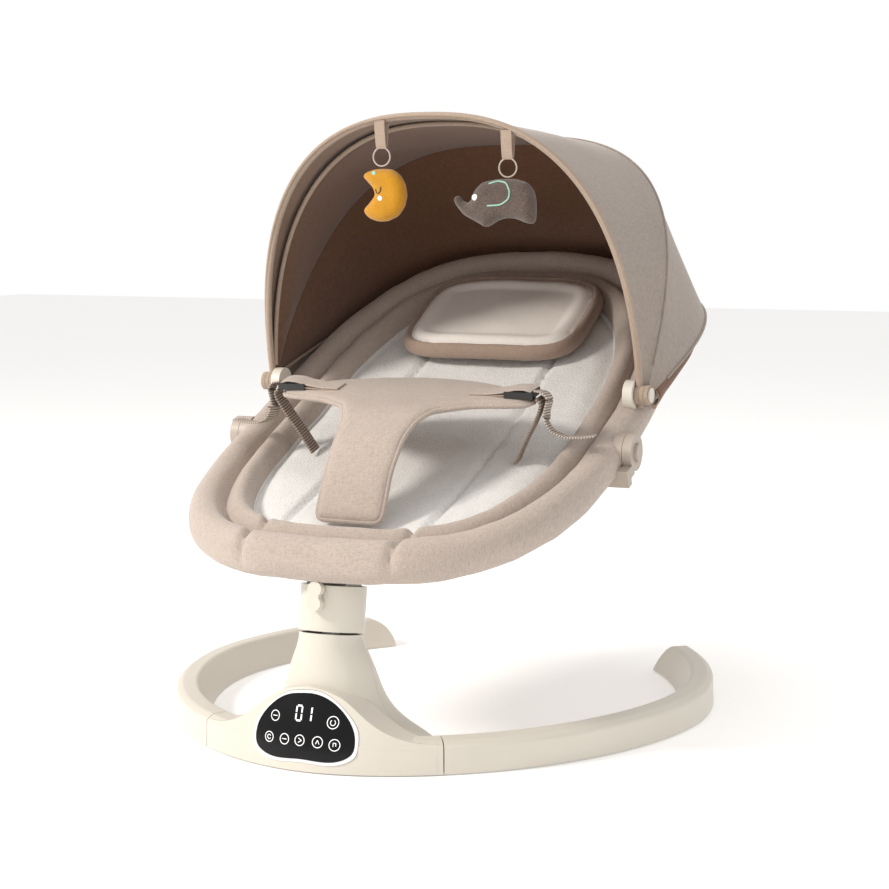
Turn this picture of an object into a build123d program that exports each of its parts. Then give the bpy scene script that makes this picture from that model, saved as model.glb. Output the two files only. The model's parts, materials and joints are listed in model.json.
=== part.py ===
from build123d import *
from math import cos, sin, tan, pi, radians, atan2, degrees, hypot
import os

# Baby swing: an open C-shaped floor ring with a front pod, a leaning column that the seat
# swings on, a reclining two-part seat frame with pads, and a folding canopy with toys.
# Millimetres, +Z up, +Y towards the head end. The pieces are laid out about the ring's
# centre and shifted along Y when they are written, so that the origin is the box's centre.
origin_y = 19.0

# Floor ring
ring_a = 300.0
ring_b = 356.0
ring_n = 1.843
arm_width = 41.0
arm_height = 34.0
wall = 3.0
floor_gap = 1.5
seam_angle = -61.6
tip_angle = 46.0
tip_round = 34.0

# Pod and column
lean = 9.0
pivot_y = -288.0
pivot_z = 129.0
column_r = 33.5
column_length = 46.0
seam_gap = 2.5
panel_draft = 20.0

# Seat
hinge_y = -50.0
hinge_z = 297.0
foot_slope = 18.4
back_slope = 28.5
seat_a = 229.0
seat_foot_y = -333.0
seat_head_y = 303.0
seat_n = 2.86
tube_r = 8.0
tube_inset = 19.0
tube_drop = 17.0
pad_top = 20.0
pad_low = 6.0
pad_rim = 44.0
pad_under = 6.0

# Canopy: pivot, and half width, height, exponent and tilt of each bow
canopy_y = 6.0
canopy_z = 353.0
bow_r = 1.8
eye_r = 10.5
front_bow = {"half": 224.0, "height": 306.0, "n": 2.5, "tilt": -12.3}
mid_bow = {"half": 229.0, "height": 339.0, "n": 3.0, "tilt": 34.0}
rear_bow = {"half": 234.0, "height": 396.0, "n": 3.4, "tilt": 75.0}


def ellipse_point(angle, a, b, n):
    """Point of a superellipse at a parameter angle in degrees."""
    c = cos(radians(angle))
    s = sin(radians(angle))
    x = a * abs(c) ** (2 / n) * (1 if c >= 0 else -1)
    y = b * abs(s) ** (2 / n) * (1 if s >= 0 else -1)
    return x, y


def oval(a, front, rear, n, z, steps=28):
    """Closed superellipse face at height z, from y = front to y = rear."""
    middle = (front + rear) / 2
    half = (rear - front) / 2
    points = []
    for i in range(steps):
        x, y = ellipse_point(360 / steps * (i + 0.5), a, half, n)
        points.append((x, middle + y, z))
    return Face(Wire([Spline(*points, periodic=True)]))


def disc_x(x0, x1, radius, y, z):
    """Cylinder along X from x0 to x1."""
    length = abs(x1 - x0)
    return Pos((x0 + x1) / 2, y, z) * Rot(0, 90, 0) * Cylinder(radius, length)


def box_between(x0, x1, y0, y1, z0, z1):
    size = (abs(x1 - x0), abs(y1 - y0), abs(z1 - z0))
    return Pos((x0 + x1) / 2, (y0 + y1) / 2, (z0 + z1) / 2) * Box(*size)


def mirrored(shape):
    return mirror(shape, about=Plane.YZ)


def write(name, shape):
    """Write one node in the part's own frame."""
    export_step(Pos(0, -origin_y, 0) * shape, f"parts/{name}.step")


# Column frame: origin at the swing seam, Z along the leaning axis
column_plane = Plane(
    origin=(0, pivot_y, pivot_z),
    x_dir=(1, 0, 0),
    z_dir=(0, sin(radians(lean)), cos(radians(lean))),
)


def on_column(shape):
    return column_plane.location * shape


# ---------------------------------------------------------------- floor ring


def arm_path(start, end, steps=14):
    points = []
    for i in range(steps + 1):
        angle = start + (end - start) * i / steps
        x, y = ellipse_point(angle, ring_a, ring_b, ring_n)
        points.append((x, y, floor_gap))
    return Spline(*points)


def swept(path, outline):
    """Sweep an outline of (inward distance, height) points along a floor path."""
    start = path @ 0
    tangent = path % 0
    inward = Vector(-tangent.Y, tangent.X, 0)
    plane = Plane(origin=start, x_dir=inward, z_dir=tangent)
    flip = 1 if plane.y_dir.Z > 0 else -1
    profile = make_face(Polyline(*[(d, z * flip) for d, z in outline], close=True))
    rounded = [v for v in profile.vertices() if abs(v.Y) > arm_height * 0.75]
    profile = fillet(rounded, 5.0) if rounded else profile
    return sweep(plane * profile, path=path)


outer_section = [(0, 0), (0.8, 28), (8, arm_height - 1), (25, arm_height), (arm_width, 0)]
inner_section = [(3, -2), (3.6, 26), (9, arm_height - 4), (22.5, arm_height - 3), (38.2, -2)]
strip_section = [(3.8, 0), (3.8, 2), (35.6, 2), (36.4, 0)]


def tip_cutter():
    """Block that rounds the arm's end down to the floor in a quarter ellipse."""
    x, y = ellipse_point(tip_angle, ring_a, ring_b, ring_n)
    before_x, before_y = ellipse_point(tip_angle - 2, ring_a, ring_b, ring_n)
    heading = degrees(atan2(y - before_y, x - before_x))
    height = arm_height + floor_gap
    outside = Rectangle(tip_round + 20, height + 20, align=(Align.MIN, Align.MIN))
    quarter = Ellipse(tip_round, height)
    profile = outside - quarter
    block = extrude(Plane.XZ * profile, amount=90, both=True)
    return Pos(x, y, 0) * Rot(0, 0, heading) * Pos(-tip_round, 0, 0) * block


def arm_shell():
    path = arm_path(seam_angle + 0.2, tip_angle)
    inner_path = arm_path(seam_angle - 1.0, tip_angle - 7.0)
    shell = swept(path, outer_section) - swept(inner_path, inner_section)
    return shell - tip_cutter()


def arm_strip():
    return swept(arm_path(seam_angle + 0.3, tip_angle - 8.5), strip_section)


# ---------------------------------------------------------------- pod


pod_levels = [
    # height, half width, front, rear, exponent
    (0.0, 112.0, -346.0, -206.0, 2.0),
    (22.0, 104.0, -344.0, -210.0, 2.0),
    (38.0, 76.0, -339.0, -219.0, 2.0),
    (54.0, 58.0, -335.0, -228.0, 2.1),
    (78.0, 47.5, -330.0, -239.0, 2.1),
    (104.0, 39.0, -325.5, -249.0, 2.05),
]


def pod_cone(inset):
    """Bell-shaped body that rises from the ring to the column seam."""
    faces = []
    for z, half, front, rear, n in pod_levels:
        low = z if z else floor_gap
        faces.append(oval(half - inset, front + inset, rear - inset, n, low))
    top_r = column_r - inset
    faces.append(oval(top_r, pivot_y - top_r, pivot_y + top_r, 2.0, 138.0))
    return loft(faces)


def pod_front_wall(inset):
    """Solid under the ring's outer curve whose wall leans back as it rises."""
    levels = [(0.0, 0.0), (22.0, 0.7), (56.0, 8.5), (90.0, panel_draft)]
    faces = []
    for z, back in levels:
        a = ring_a - back - inset
        b = ring_b - back - inset
        points = [ellipse_point(10 * i + 5, a, b, ring_n) for i in range(36)]
        faces.append(Face(Wire([Spline(*[(x, y, z) for x, y in points], periodic=True)])))
    return loft(faces)


def front_prism(face, y0, y1):
    """Extrude a face drawn in (x, z) from y0 to y1."""
    return extrude(Plane(origin=(0, y1, 0), x_dir=(1, 0, 0), z_dir=(0, -1, 0)) * face, amount=y1 - y0)


def hump_face(inset):
    """Bell outline over the control panel, in (x, z)."""
    right = [(0, 82.5), (20, 80), (41, 71.5), (58, 58.5), (76, 46), (97, 36.5), (128, 31.5)]
    lowered = [(x, z - inset) for x, z in right]
    top = Spline(*[(-x, z) for x, z in reversed(lowered)], *lowered[1:])
    side = 128
    base = Polyline(lowered[-1], (side, floor_gap), (-side, floor_gap), (-side, lowered[-1][1]))
    return make_face([top, base])


def panel_face(grow):
    """Outline of the control panel, in (x, z): flat base, round corners, domed top."""
    half = 55.0 + grow
    low = 14.0 - grow
    high = 77.0 + grow
    right = [(0, high), (22, high - 3.5), (42, high - 17), (half - 0.5, high - 39), (half, low + 20)]
    corner = [(half - 2, low + 9), (half - 11, low + 2.2), (0, low)]
    points = right + corner
    left = [(-x, z) for x, z in reversed(points[1:-1])]
    return make_face(Spline(*points, *left, periodic=True))


def pod_solid():
    band = swept(arm_path(-180 - seam_angle, seam_angle, 16), outer_section)
    hump = pod_front_wall(0) & front_prism(hump_face(0), -362, -300)
    return band + hump + pod_cone(0)


def pod_cavity():
    band = swept(arm_path(-184 - seam_angle, seam_angle + 4, 16), inner_section)
    hump = pod_front_wall(wall) & front_prism(hump_face(wall), -362, -296)
    under = extrude(oval(106, -340, -212, 2.0, floor_gap - 3), amount=8)
    return band + hump + pod_cone(wall) + under


def base_nodes():
    """Ring arms, pod shells and the control panel."""
    right = arm_shell()
    write("right_arm", right)
    write("left_arm", mirrored(right))
    strip = arm_strip()
    write("arm_strips", Compound([strip, mirrored(strip)]))

    behind = box_between(-200, 200, -283, -150, -10, 200)
    recess = front_prism(panel_face(3.4), -365, -315) & (pod_front_wall(-5) - pod_front_wall(2.0))
    top_cut = on_column(Pos(0, 0, 50 - seam_gap / 2) * Box(120, 120, 100))
    shell = pod_solid() - pod_cavity() - top_cut - recess
    front_half = shell - Pos(0, -0.3, 0) * behind
    jack_hole = Pos(0, -212, 16) * Rot(90, 0, 0) * Cylinder(6.3, 40)
    rear_half = (shell & behind) - jack_hole
    write("pod_front_shell", max(front_half.solids(), key=lambda s: s.volume))
    write("pod_rear_cover", max(rear_half.solids(), key=lambda s: s.volume))
    write("bottom_plate", extrude(oval(92, -330, -222, 2.0, 1.4), amount=2.2))

    panel_prism = front_prism(panel_face(0), -365, -315)
    write("control_panel", panel_prism & (pod_front_wall(-0.5) - pod_front_wall(1.8)))
    rim = front_prism(panel_face(3.0), -365, -315) - front_prism(panel_face(0.3), -365, -315)
    write("panel_bezel", rim & (pod_front_wall(-0.9) - pod_front_wall(1.8)))
    board = box_between(-40, 40, -333, -331.4, 26, 60) + box_between(-34, 34, -334.4, -333, 30, 36)
    write("touch_board", board)


def drive_nodes():
    """Bearing tube, electromagnetic drive, board, speaker and power inlet in the pod."""
    tube = Pos(0, 0, -36) * (Cylinder(20.0, 44) - Cylinder(17.0, 45))
    cup = Pos(0, 0, -107) * (Cylinder(20.0, 22) - Cylinder(17.0, 23))
    write("bearing_tube", Compound([on_column(tube), on_column(cup)]))
    rings = [Pos(0, 0, h) * (Cylinder(16.9, 9) - Cylinder(9.05, 10)) for h in (-108, -24)]
    write("spindle_bearings", Compound([on_column(r) for r in rings]))
    coil = Pos(-42, -262, 19) * (Cylinder(13, 22) - Cylinder(6.3, 23))
    write("drive_coil", coil)
    core = Pos(-42, -262, 19.6) * Cylinder(6, 26) + box_between(-54, -30, -274, -250, 4.6, 6.8)
    write("coil_core", core)
    board = box_between(26, 70, -262, -236, 8, 9.6)
    chips = box_between(32, 44, -256, -244, 9.6, 12.4) + box_between(52, 66, -258, -246, 9.6, 18)
    write("main_board", board + chips)
    speaker = Pos(54, -296, 5.4) * Cylinder(17, 3) + Pos(54, -296, 10) * Cylinder(10, 8)
    write("speaker", speaker)
    jack = Pos(0, -215, 16) * Rot(90, 0, 0) * (Cylinder(6, 17) - Pos(0, 0, -4) * Cylinder(2.8, 17))
    write("power_inlet", jack)
    screws = []
    for x, y in ((-72, -296), (72, -266), (-30, -240), (22, -240)):
        screws.append(Pos(x, y, 0.9) * Cylinder(3.2, 0.8))
    write("base_screws", Compound(screws))
    pads = []
    for angle in (-104, -76, -28, 8, 32, 148, 172, 208):
        x, y = ellipse_point(angle, ring_a - 20, ring_b - 20, ring_n)
        pads.append(Pos(x, y, floor_gap / 2) * Cylinder(7, floor_gap))
    write("rubber_feet", Compound(pads))


# ---------------------------------------------------------------- swinging column


def column_nodes():
    """Column sleeve, spindle, drive arm and the swing lock."""
    body = Pos(0, 0, seam_gap / 2 + column_length / 2) * Cylinder(column_r, column_length)
    hollow = Pos(0, 0, seam_gap / 2 + column_length / 2 + 3) * Cylinder(column_r - 3.5, column_length)
    boss = Pos(0, -column_r + 1.5, 36) * Rot(90, 0, 0) * Cylinder(9.5, 5)
    pin_bore = Pos(0, -column_r, 36) * Rot(90, 0, 0) * Cylinder(3.3, 24)
    write("column_sleeve", on_column(body - hollow - Cylinder(9.3, 40) + boss - pin_bore))
    shaft = Pos(0, 0, -33) * Cylinder(9.0, 158) + Pos(0, 0, 44.5) * Cylinder(22, 4)
    write("spindle", on_column(shaft))
    knob_place = Pos(0, -column_r - 1.0, 36) * Rot(90, 0, 0)
    lobes = [Pos(0, y, 5) * Cylinder(7.6, 8) for y in (-7.2, 7.2)]
    knob = lobes[0] + lobes[1] + Pos(0, 0, 5) * Cylinder(5.0, 8)
    write("lock_knob", on_column(knob_place * knob))
    write("lock_pin", on_column(knob_place * Pos(0, 0, -7.4) * Cylinder(3.2, 16)))
    arm = Pos(-24, 24, -80) * Rot(0, 0, 135) * Box(60, 14, 3)
    collar = Pos(0, 0, -80) * (Cylinder(15, 8) - Cylinder(9.05, 9))
    clear = Pos(0, 0, -80) * Cylinder(9.05, 20)
    write("magnet_arm", on_column(arm + collar - clear))
    magnets = [Pos(-38 + d, 38 + d, -83.8) * Cylinder(6, 4) for d in (-8, 8)]
    write("drive_magnets", on_column(Compound(magnets)))


# ---------------------------------------------------------------- seat frame and pads


def half_plane(slope):
    """Plane of one half of the seat: origin on the hinge axis, local Y along the slope."""
    angle = radians(slope)
    return Plane(origin=(0, hinge_y, hinge_z), x_dir=(1, 0, 0), z_dir=(0, -sin(angle), cos(angle)))


foot_plane = half_plane(foot_slope)
back_plane = half_plane(back_slope)
foot_reach = (hinge_y - seat_foot_y) / cos(radians(foot_slope))
back_reach = (seat_head_y - hinge_y) / cos(radians(back_slope))


def seat_outline(inset, steps=40):
    """Closed face of the whole seat in (x, distance from the hinge along the slope)."""
    points = []
    for i in range(steps):
        x, y = ellipse_point(360 / steps * (i + 0.5), 1, 1, seat_n)
        middle = (seat_foot_y + seat_head_y) / 2
        along = middle + y * (seat_head_y - seat_foot_y) / 2 - hinge_y
        slope = back_slope if along > 0 else foot_slope
        points.append((x * (seat_a - inset), (along * (1 - inset / 320)) / cos(radians(slope))))
    return make_face(Spline(*points, periodic=True))


def u_tube(plane, side, inset, radius, drop, start):
    """Bent tube that follows one end of the seat; side is -1 at the foot, 1 at the head."""
    reach = (back_reach if side > 0 else foot_reach) - inset
    half = seat_a - inset
    points = []
    for i in range(17):
        angle = side * (180 - 180 * i / 16)
        x, y = ellipse_point(angle, half, reach, seat_n)
        points.append((x, y))
    middle = [p for p in points if abs(p[1]) > start + 12]
    legs = [(-half, side * start)] + middle + [(half, side * start)]
    path = Spline(*[plane.location.position + plane.x_dir * x + plane.y_dir * y - plane.z_dir * drop
                    for x, y in legs])
    profile = Plane(origin=path @ 0, z_dir=path % 0) * Circle(radius)
    return sweep(profile, path=path)


def pad(plane, side, gap, inset):
    """Soft pad of one half of the seat: a raised rim round a low middle, cut back at the hinge."""
    slab = extrude(Pos(0, 0, -pad_under) * seat_outline(inset), amount=pad_top + pad_under)
    hollow = extrude(Pos(0, 0, pad_low) * seat_outline(inset + pad_rim), amount=40)
    keep = Pos(0, side * (200 + gap), 0) * Box(600, 400, 200)
    knuckle = disc_x(-260, -203, 25, 0, 0) + disc_x(203, 260, 25, 0, 0)
    return plane.location * ((slab - hollow) & keep - knuckle)


def seat_nodes():
    """Bracket, tubes, hinges and pads of the two seat halves."""
    leg_start = 34.0
    foot = u_tube(foot_plane, -1, tube_inset, tube_r, tube_drop, leg_start)
    back = u_tube(back_plane, 1, tube_inset, tube_r, tube_drop, leg_start)
    write("foot_frame", foot)
    write("back_frame", back)
    write("foot_pad", pad(foot_plane, -1, 1.0, 6.0))
    wedge = back_plane.location * (Rot(-32, 0, 0) * Pos(0, -20, -20) * Box(600, 40, 40))
    write("back_pad", pad(back_plane, 1, 3.0, 20.0) - wedge)


def hinge_nodes():
    """Recline hinges: outer halves on the foot frame, inner halves on the back frame."""
    lug_x = seat_a - tube_inset - 9
    outer = disc_x(231, 241, 19.5, 0, 0) - disc_x(236, 242, 10, 0, 0) - disc_x(230, 242, 5.1, 0, 0)
    outer += box_between(231, 241, -33.5, -12, -19, -7.2)
    outer += box_between(lug_x, 241, -33.5, -23, -26, -7.2)
    inner = disc_x(219.5, 230.5, 19.5, 0, 0) - disc_x(219, 231, 5.1, 0, 0)
    inner += box_between(219.5, 230.5, 12, 33.5, -19, -7.2)
    inner += box_between(lug_x, 230.5, 23, 33.5, -26, -7.2)
    button = disc_x(238.6, 244.5, 9.4, 0, 0)
    pieces = {
        "hinge_outer": foot_plane.location * outer,
        "hinge_inner": back_plane.location * inner,
        "recline_button": foot_plane.location * button,
    }
    for name, shape in pieces.items():
        write("right_" + name, shape)
        write("left_" + name, mirrored(shape))
    pin = foot_plane.location * disc_x(217, 235.8, 5.0, 0, 0)
    write("hinge_pins", Compound([pin, mirrored(pin)]))


def bracket_nodes():
    """Steel bracket from the spindle's flange up to the foot frame, and the frame's cross bar."""
    plate_z = -tube_drop - tube_r - 2.0
    plate = foot_plane.location * Pos(0, -228, plate_z) * Box(110, 84, 3)
    below = foot_plane.location * Pos(0, -232, plate_z - 50) * Box(300, 300, 100)
    pedestal = on_column(Pos(0, 0, 66.7) * Box(44, 36, 40)) & below
    write("seat_bracket", plate + pedestal)
    bar = foot_plane.location * (Pos(0, -185, -tube_drop) * Rot(0, 90, 0) * Cylinder(6, 348))
    write("cross_bar", bar)


# ---------------------------------------------------------------- canopy


def bow_point(bow, angle, grow=0.0):
    """Point (x, radius from the pivot axis) of a bow."""
    return ellipse_point(angle, bow["half"] + grow, bow["height"] + grow, bow["n"])


def bow_place(tilt):
    """Plane through the pivot axis: local X across, local Y along the radius."""
    angle = radians(tilt)
    out = (0, sin(angle), cos(angle))
    return Plane(origin=(0, canopy_y, canopy_z), x_dir=(1, 0, 0), z_dir=Vector(1, 0, 0).cross(Vector(*out)))


def bow_rod(bow):
    """Bent rod from one clip over to the other, with an eye butted on at each end."""
    steps = 22
    angles = [180 - 180 * i / steps for i in range(2, steps - 1)]
    curve = [bow_point(bow, a) for a in angles]
    points = [(-bow["half"], eye_r + 0.02)] + curve + [(bow["half"], eye_r + 0.02)]
    place = bow_place(bow["tilt"])
    path = place.location * Spline(*points)
    rod = sweep(Plane(origin=path @ 0, z_dir=path % 0) * Circle(bow_r), path=path)
    ring = disc_x(bow["half"] - 2.3, bow["half"] + 2.3, eye_r, 0, 0) - disc_x(0, 260, 5.2, 0, 0)
    eye = Pos(0, canopy_y, canopy_z) * ring
    return Compound([rod, eye, mirrored(eye)])


def crescent(bow, tilt, start=6):
    """Thin closed strip that follows a bow, in the plane at a tilt."""
    angles = [180 - start - (180 - 2 * start) * i / 24 for i in range(25)]
    inner = [bow_point(bow, a, 0.5) for a in angles]
    outer = [bow_point(bow, a, 2.3) for a in angles]
    edges = [Spline(*inner), Line(inner[-1], outer[-1]), Spline(*reversed(outer)), Line(outer[0], inner[0])]
    return bow_place(tilt).location * make_face(edges)


def blended_bow(first, second, share):
    """Bow between two bows, for the panel edges that stop short of the rods."""
    return {key: first[key] + (second[key] - first[key]) * share for key in first}


def canopy_panel(first, second):
    """Fabric panel stretched between two bows, stopping short of each rod."""
    near = blended_bow(first, second, 0.045)
    far = blended_bow(first, second, 0.95)
    return loft([crescent(near, near["tilt"]), crescent(far, far["tilt"])], ruled=True)


def hem_strip():
    """Thin strip that follows the underside of the backrest frame."""
    points = {}
    for inset in (1.0, 3.0):
        half = seat_a + 6 - inset
        reach = back_reach + 6 - inset
        row = []
        for i in range(25):
            x, y = ellipse_point(172 - 164 * i / 24, half, reach, seat_n)
            row.append((x, y))
        points[inset] = row
    inner = points[3.0]
    outer = points[1.0]
    edges = [Spline(*inner), Line(inner[-1], outer[-1]), Spline(*reversed(outer)), Line(outer[0], inner[0])]
    return back_plane.location * Pos(0, 0, -tube_drop - tube_r - 3) * make_face(edges)


def canopy_nodes():
    """Clips, bows and fabric panels."""
    write("front_bow", bow_rod(front_bow))
    write("mid_bow", bow_rod(mid_bow))
    write("rear_bow", bow_rod(rear_bow))
    write("front_panel", canopy_panel(front_bow, mid_bow))
    write("rear_panel", canopy_panel(mid_bow, rear_bow))
    write("head_skirt", loft([crescent(rear_bow, rear_bow["tilt"] + 1.6), hem_strip()], ruled=True))
    to_local = Pos(0, canopy_y, canopy_z)
    pin = disc_x(219, 237, 5.0, 0, 0) + disc_x(236.7, 238.7, 8.0, 0, 0)
    drum = to_local * (disc_x(209.8, 220.6, 16, 0, 0) + pin)
    local_y = (canopy_y - hinge_y) * cos(radians(back_slope)) + (canopy_z - hinge_z) * sin(radians(back_slope))
    stem = back_plane.location * box_between(213, 216, local_y - 7, local_y + 7, -21, 12)
    for name, shape in {"canopy_clip": drum, "clip_bracket": stem}.items():
        write("right_" + name, shape)
        write("left_" + name, mirrored(shape))


# ---------------------------------------------------------------- toys, harness, pillow

strap_x = {"moon": -53.0, "elephant": 95.0}
ring_r = 11.0
strap_drop = 26.0


def toy_anchor(x):
    """Lowest point of the front bow's rod over the width of a toy's loop."""
    share = (abs(x) + 6) / front_bow["half"]
    height = front_bow["height"] * (1 - share ** front_bow["n"]) ** (1 / front_bow["n"])
    tilt = radians(front_bow["tilt"])
    return canopy_y + height * sin(tilt), canopy_z + height * cos(tilt)


def moon_body():
    outer = Pos(2, 0) * Ellipse(24, 29)
    bite = Pos(-20, 4) * Circle(17)
    return outer - bite


def elephant_body():
    body = Pos(8, 2) * Ellipse(36, 24)
    head = Pos(-18, 0) * Circle(18)
    trunk = make_face(Spline((-30, 8), (-40, 0), (-52, -2), (-48, -14), (-34, -18), (-20, -12), periodic=True))
    legs = Pos(0, -18) * Rectangle(26, 16) + Pos(30, -18) * Rectangle(22, 16)
    belly = Pos(15, -28) * Circle(9)
    return body + head + trunk + legs - belly


def toy_nodes():
    """Loops on the front bow, rings and the two soft toys."""
    faces = {"moon": moon_body(), "elephant": elephant_body()}
    for name, x in strap_x.items():
        y, z = toy_anchor(x)
        top = z - bow_r - 0.6
        axis_z = top - strap_drop
        strap = box_between(x - 6, x + 6, y - 1.2, y + 1.2, axis_z + 2.0, top)
        eye = Pos(0, y, axis_z) * (disc_x(x - 2, x + 2, 2.4, 0, 0) - disc_x(x - 3, x + 3, 1.4, 0, 0))
        write(name + "_loop", strap + eye)
        centre = axis_z - ring_r + 0.9
        ring = Pos(x, y, centre) * Rot(90, 0, 0) * Torus(ring_r - 0.9, 0.9)
        write(name + "_ring", ring)
        body = extrude(faces[name], amount=8, both=True)
        offset_x = {"moon": 3.0, "elephant": -14.0}[name]
        offset_z = {"moon": 30.5, "elephant": 27.5}[name]
        write(name + "_toy", Pos(x + offset_x, y, centre - ring_r - offset_z) * Rot(90, 0, 0) * body)


def side_ribbon(points, thickness, x0, x1):
    """Ribbon that follows (y, z) points, as wide as x0 to x1."""
    upper = [(y, z + thickness) for y, z in points]
    edges = [Spline(*points), Line(points[-1], upper[-1]), Spline(*reversed(upper)), Line(upper[0], points[0])]
    face = make_face(edges)
    plane = Plane(origin=(x0, 0, 0), x_dir=(0, 1, 0), z_dir=(1, 0, 0))
    return extrude(plane * face, amount=x1 - x0)


harness_hinge = (-245, 246)
harness_profile = [(-245, 243), (-226, 280), (-200, 312), (-165, 336), (-110, 350), (-52, 361)]


def harness_nodes():
    """T-shaped crotch pad, its buckles and lap straps, and the head pillow."""
    ribbon = side_ribbon(harness_profile, 6.0, -150, 150)
    stem = [(35, -260), (35, -200), (38, -178), (52, -152), (84, -132), (130, -124)]
    top = [(146, -116), (146, -100), (120, -82), (60, -58), (0, -54)]
    right = stem + top
    left = [(-x, y) for x, y in reversed(right[:-1])]
    plan = make_face([Spline(*right, *left), Line(left[-1], right[0])])
    hem = disc_x(-34, 34, 3.0, *harness_hinge)
    write("crotch_pad", (ribbon & extrude(Pos(0, 0, 200) * plan, amount=200)) + hem)
    buckle = Pos(134, -109, 361.4) * Rot(12.5, 0, 0) * (Box(32, 24, 7) - Pos(11, 0, 0) * Box(4, 17, 8))
    strap = loft([
        Pos(157, -109, 356) * Rectangle(3, 20),
        Pos(124, -98, 290.8) * Rectangle(3, 20),
    ])
    for name, shape in {"buckle": buckle, "lap_strap": strap}.items():
        write("right_" + name, shape)
        write("left_" + name, mirrored(shape))
    pillow = extrude(RectangleRounded(206, 136, 34), amount=26)
    write("head_pillow", back_plane.location * Pos(0, 228, pad_low + 0.6) * pillow)


def main():
    os.makedirs("parts", exist_ok=True)
    base_nodes()
    drive_nodes()
    column_nodes()
    seat_nodes()
    hinge_nodes()
    bracket_nodes()
    canopy_nodes()
    toy_nodes()
    harness_nodes()


main()
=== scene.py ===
import json
import math
import bpy
import numpy as np
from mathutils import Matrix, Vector, noise
from mathutils.bvhtree import BVHTree


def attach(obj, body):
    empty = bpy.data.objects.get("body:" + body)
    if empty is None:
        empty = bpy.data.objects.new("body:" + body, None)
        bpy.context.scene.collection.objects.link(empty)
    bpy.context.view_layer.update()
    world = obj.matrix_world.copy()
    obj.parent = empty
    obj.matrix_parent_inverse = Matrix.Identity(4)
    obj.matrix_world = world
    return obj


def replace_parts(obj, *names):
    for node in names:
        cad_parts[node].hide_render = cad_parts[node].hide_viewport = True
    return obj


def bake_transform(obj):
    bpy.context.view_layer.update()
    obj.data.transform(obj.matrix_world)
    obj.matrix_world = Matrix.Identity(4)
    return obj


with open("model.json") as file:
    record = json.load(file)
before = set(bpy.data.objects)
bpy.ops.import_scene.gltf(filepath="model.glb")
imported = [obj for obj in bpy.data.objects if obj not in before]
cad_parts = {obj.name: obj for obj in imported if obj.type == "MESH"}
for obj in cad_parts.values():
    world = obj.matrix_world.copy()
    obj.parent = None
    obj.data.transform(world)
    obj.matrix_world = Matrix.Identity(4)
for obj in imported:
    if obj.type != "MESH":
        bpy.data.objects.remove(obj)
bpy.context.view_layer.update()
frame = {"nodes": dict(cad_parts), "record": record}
nodes = frame["nodes"]
shiftY = 0.019  # the floor ring's centre lies this far in front of the part's origin
print("frame loaded")


def nodeTree(name):
    material = bpy.data.materials.new(name)
    material.use_nodes = True
    tree = material.node_tree
    shader = tree.nodes["Principled BSDF"]
    place = tree.nodes.new("ShaderNodeTexCoord")
    return material, tree, shader, place.outputs["Object"]


def addNoise(tree, place, scale, detail=3.0, rough=0.55):
    node = tree.nodes.new("ShaderNodeTexNoise")
    node.inputs["Scale"].default_value = scale
    node.inputs["Detail"].default_value = detail
    node.inputs["Roughness"].default_value = rough
    tree.links.new(place, node.inputs["Vector"])
    return node.outputs["Fac"]


def addWave(tree, place, scale, turn, distortion=1.2):
    mapping = tree.nodes.new("ShaderNodeMapping")
    mapping.inputs["Rotation"].default_value = turn
    tree.links.new(place, mapping.inputs["Vector"])
    node = tree.nodes.new("ShaderNodeTexWave")
    node.inputs["Scale"].default_value = scale
    node.inputs["Distortion"].default_value = distortion
    node.inputs["Detail"].default_value = 2.0
    node.inputs["Detail Scale"].default_value = 1.5
    tree.links.new(mapping.outputs["Vector"], node.inputs["Vector"])
    return node.outputs["Fac"]


# thin streaks along one direction, as threads of uneven thickness
def addThreads(tree, place, stretch):
    mapping = tree.nodes.new("ShaderNodeMapping")
    mapping.inputs["Scale"].default_value = stretch
    tree.links.new(place, mapping.inputs["Vector"])
    return addNoise(tree, mapping.outputs["Vector"], 1.0, 2.0, 0.6)


def addMath(tree, kind, first, second):
    node = tree.nodes.new("ShaderNodeMath")
    node.operation = kind
    for index, value in enumerate((first, second)):
        if isinstance(value, (int, float)):
            node.inputs[index].default_value = value
        else:
            tree.links.new(value, node.inputs[index])
    return node.outputs[0]


def addRamp(tree, factor, stops):
    node = tree.nodes.new("ShaderNodeValToRGB")
    ramp = node.color_ramp
    while len(ramp.elements) < len(stops):
        ramp.elements.new(0.5)
    for element, (place, colour) in zip(ramp.elements, stops):
        element.position = place
        element.color = (*colour, 1.0)
    tree.links.new(factor, node.inputs["Fac"])
    return node.outputs["Color"]


def addBump(tree, shader, height, strength, distance):
    node = tree.nodes.new("ShaderNodeBump")
    node.inputs["Strength"].default_value = strength
    node.inputs["Distance"].default_value = distance
    tree.links.new(height, node.inputs["Height"])
    tree.links.new(node.outputs["Normal"], shader.inputs["Normal"])


def shade(colour, factor):
    return tuple(min(1.0, c * factor) for c in colour)


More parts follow.
